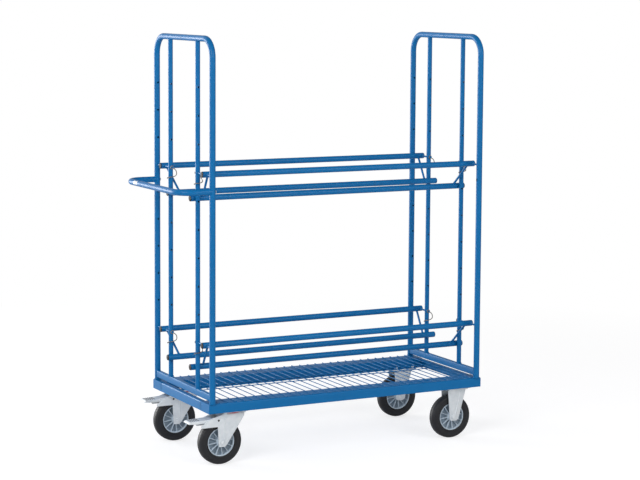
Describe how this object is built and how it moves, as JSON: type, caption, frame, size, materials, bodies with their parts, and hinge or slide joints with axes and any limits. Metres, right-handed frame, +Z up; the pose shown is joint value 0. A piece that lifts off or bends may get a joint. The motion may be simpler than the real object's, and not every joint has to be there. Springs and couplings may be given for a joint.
{
  "type": "tyre storage rack",
  "caption": "Mobile steel tyre rack on casters: tube end frames, adjustable pairs of tyre rails on two tiers, wire mesh deck and a push handle.",
  "frame": {"origin": "centre of the bounding box on the floor, under the casters", "axes": "+X along the rack from the push handle to the fixed casters, +Y from the front to the back, +Z up"},
  "size_m": [1.5264, 0.6388, 1.8634],
  "materials": {
    "blue_powder_coat": "semi-gloss powder coat on steel tube and sheet",
    "zinc_plate": "bright zinc plated pressed steel",
    "spring_wire": "zinc plated spring wire",
    "wheel_rubber": "matt solid black rubber",
    "rim_plastic": "grey moulded plastic",
    "black_plastic": "black moulded end plugs",
    "red_seal": "red moulded dust seal"
  },
  "bodies": {
    "rack": {"back_caster_rail": "blue_powder_coat", "back_fixed_axle": "zinc_plate", "back_fixed_fork": "zinc_plate", "back_member": "blue_powder_coat", "back_swivel_plate": "zinc_plate", "back_swivel_seal": "red_seal", "caster_bolts": "zinc_plate", "front_caster_rail": "blue_powder_coat", "front_fixed_axle": "zinc_plate", "front_fixed_fork": "zinc_plate", "front_member": "blue_powder_coat", "front_swivel_plate": "zinc_plate", "front_swivel_seal": "red_seal", "handle_bolts": "zinc_plate", "hanger_rods": "blue_powder_coat", "left_back_upright": "blue_powder_coat", "left_crossbar": "blue_powder_coat", "left_front_upright": "blue_powder_coat", "left_hoop": "blue_powder_coat", "left_member": "blue_powder_coat", "lower_tier_back_low_rail": "blue_powder_coat", "lower_tier_back_top_rail": "blue_powder_coat", "lower_tier_front_low_rail": "blue_powder_coat", "lower_tier_front_top_rail": "blue_powder_coat", "mesh_cross_wires": "blue_powder_coat", "mesh_long_wires": "blue_powder_coat", "push_handle": "blue_powder_coat", "rail_end_plugs": "black_plastic", "rail_struts": "blue_powder_coat", "right_back_upright": "blue_powder_coat", "right_crossbar": "blue_powder_coat", "right_front_upright": "blue_powder_coat", "right_hoop": "blue_powder_coat", "right_member": "blue_powder_coat", "upper_tier_back_low_rail": "blue_powder_coat", "upper_tier_back_top_rail": "blue_powder_coat", "upper_tier_front_low_rail": "blue_powder_coat", "upper_tier_front_top_rail": "blue_powder_coat"},
    "front_swivel_fork_body": {"front_swivel_fork": "zinc_plate", "front_swivel_axle": "zinc_plate"},
    "front_swivel_wheel": {"front_swivel_tyre": "wheel_rubber", "front_swivel_rim": "rim_plastic"},
    "front_swivel_brake": {"front_swivel_pedal": "zinc_plate"},
    "front_fixed_wheel": {"front_fixed_tyre": "wheel_rubber", "front_fixed_rim": "rim_plastic"},
    "back_swivel_fork_body": {"back_swivel_fork": "zinc_plate", "back_swivel_axle": "zinc_plate"},
    "back_swivel_wheel": {"back_swivel_tyre": "wheel_rubber", "back_swivel_rim": "rim_plastic"},
    "back_swivel_brake": {"back_swivel_pedal": "zinc_plate"},
    "back_fixed_wheel": {"back_fixed_tyre": "wheel_rubber", "back_fixed_rim": "rim_plastic"},
    "lower_left_front_lock_clip_body": {"lower_left_front_lock_clip": "spring_wire"},
    "lower_left_back_lock_clip_body": {"lower_left_back_lock_clip": "spring_wire"},
    "lower_right_front_lock_clip_body": {"lower_right_front_lock_clip": "spring_wire"},
    "lower_right_back_lock_clip_body": {"lower_right_back_lock_clip": "spring_wire"},
    "upper_left_front_lock_clip_body": {"upper_left_front_lock_clip": "spring_wire"},
    "upper_left_back_lock_clip_body": {"upper_left_back_lock_clip": "spring_wire"},
    "upper_right_front_lock_clip_body": {"upper_right_front_lock_clip": "spring_wire"},
    "upper_right_back_lock_clip_body": {"upper_right_back_lock_clip": "spring_wire"}
  },
  "joints": [
    {"name": "front_swivel_turn", "type": "hinge", "parent": "rack", "child": "front_swivel_fork_body", "pos_m": [-0.48678, -0.25, 0.22], "axis": [0, 0, 1], "continuous": true},
    {"name": "front_swivel_roll", "type": "hinge", "parent": "front_swivel_fork_body", "child": "front_swivel_wheel", "pos_m": [-0.54178, -0.25, 0.1], "axis": [0, 1, 0], "continuous": true},
    {"name": "front_swivel_brake_press", "type": "hinge", "parent": "front_swivel_fork_body", "child": "front_swivel_brake", "pos_m": [-0.55878, -0.25, 0.199], "axis": [0, -1, 0], "range_deg": [0, 12]},
    {"name": "front_fixed_roll", "type": "hinge", "parent": "rack", "child": "front_fixed_wheel", "pos_m": [0.62723, -0.25, 0.1], "axis": [0, 1, 0], "continuous": true},
    {"name": "back_swivel_turn", "type": "hinge", "parent": "rack", "child": "back_swivel_fork_body", "pos_m": [-0.48678, 0.25, 0.22], "axis": [0, 0, 1], "continuous": true},
    {"name": "back_swivel_roll", "type": "hinge", "parent": "back_swivel_fork_body", "child": "back_swivel_wheel", "pos_m": [-0.54178, 0.25, 0.1], "axis": [0, 1, 0], "continuous": true},
    {"name": "back_swivel_brake_press", "type": "hinge", "parent": "back_swivel_fork_body", "child": "back_swivel_brake", "pos_m": [-0.55878, 0.25, 0.199], "axis": [0, -1, 0], "range_deg": [0, 12]},
    {"name": "back_fixed_roll", "type": "hinge", "parent": "rack", "child": "back_fixed_wheel", "pos_m": [0.62723, 0.25, 0.1], "axis": [0, 1, 0], "continuous": true},
    {"name": "lower_left_front_lock_clip_swing", "type": "hinge", "parent": "rack", "child": "lower_left_front_lock_clip_body", "pos_m": [-0.59977, -0.15, 0.524], "axis": [0, 1, 0], "range_deg": [-100, 0]},
    {"name": "lower_left_back_lock_clip_swing", "type": "hinge", "parent": "rack", "child": "lower_left_back_lock_clip_body", "pos_m": [-0.59977, 0.15, 0.524], "axis": [0, 1, 0], "range_deg": [-100, 60]},
    {"name": "lower_right_front_lock_clip_swing", "type": "hinge", "parent": "rack", "child": "lower_right_front_lock_clip_body", "pos_m": [0.73523, -0.15, 0.524], "axis": [0, 1, 0], "range_deg": [-100, 0]},
    {"name": "lower_right_back_lock_clip_swing", "type": "hinge", "parent": "rack", "child": "lower_right_back_lock_clip_body", "pos_m": [0.73523, 0.15, 0.524], "axis": [0, 1, 0], "range_deg": [-100, 60]},
    {"name": "upper_left_front_lock_clip_swing", "type": "hinge", "parent": "rack", "child": "upper_left_front_lock_clip_body", "pos_m": [-0.59977, -0.15, 1.268], "axis": [0, 1, 0], "range_deg": [-100, 0]},
    {"name": "upper_left_back_lock_clip_swing", "type": "hinge", "parent": "rack", "child": "upper_left_back_lock_clip_body", "pos_m": [-0.59977, 0.15, 1.268], "axis": [0, 1, 0], "range_deg": [-100, 60]},
    {"name": "upper_right_front_lock_clip_swing", "type": "hinge", "parent": "rack", "child": "upper_right_front_lock_clip_body", "pos_m": [0.73523, -0.15, 1.268], "axis": [0, 1, 0], "range_deg": [-100, 0]},
    {"name": "upper_right_back_lock_clip_swing", "type": "hinge", "parent": "rack", "child": "upper_right_back_lock_clip_body", "pos_m": [0.73523, 0.15, 1.268], "axis": [0, 1, 0], "range_deg": [-100, 60]}
  ]
}
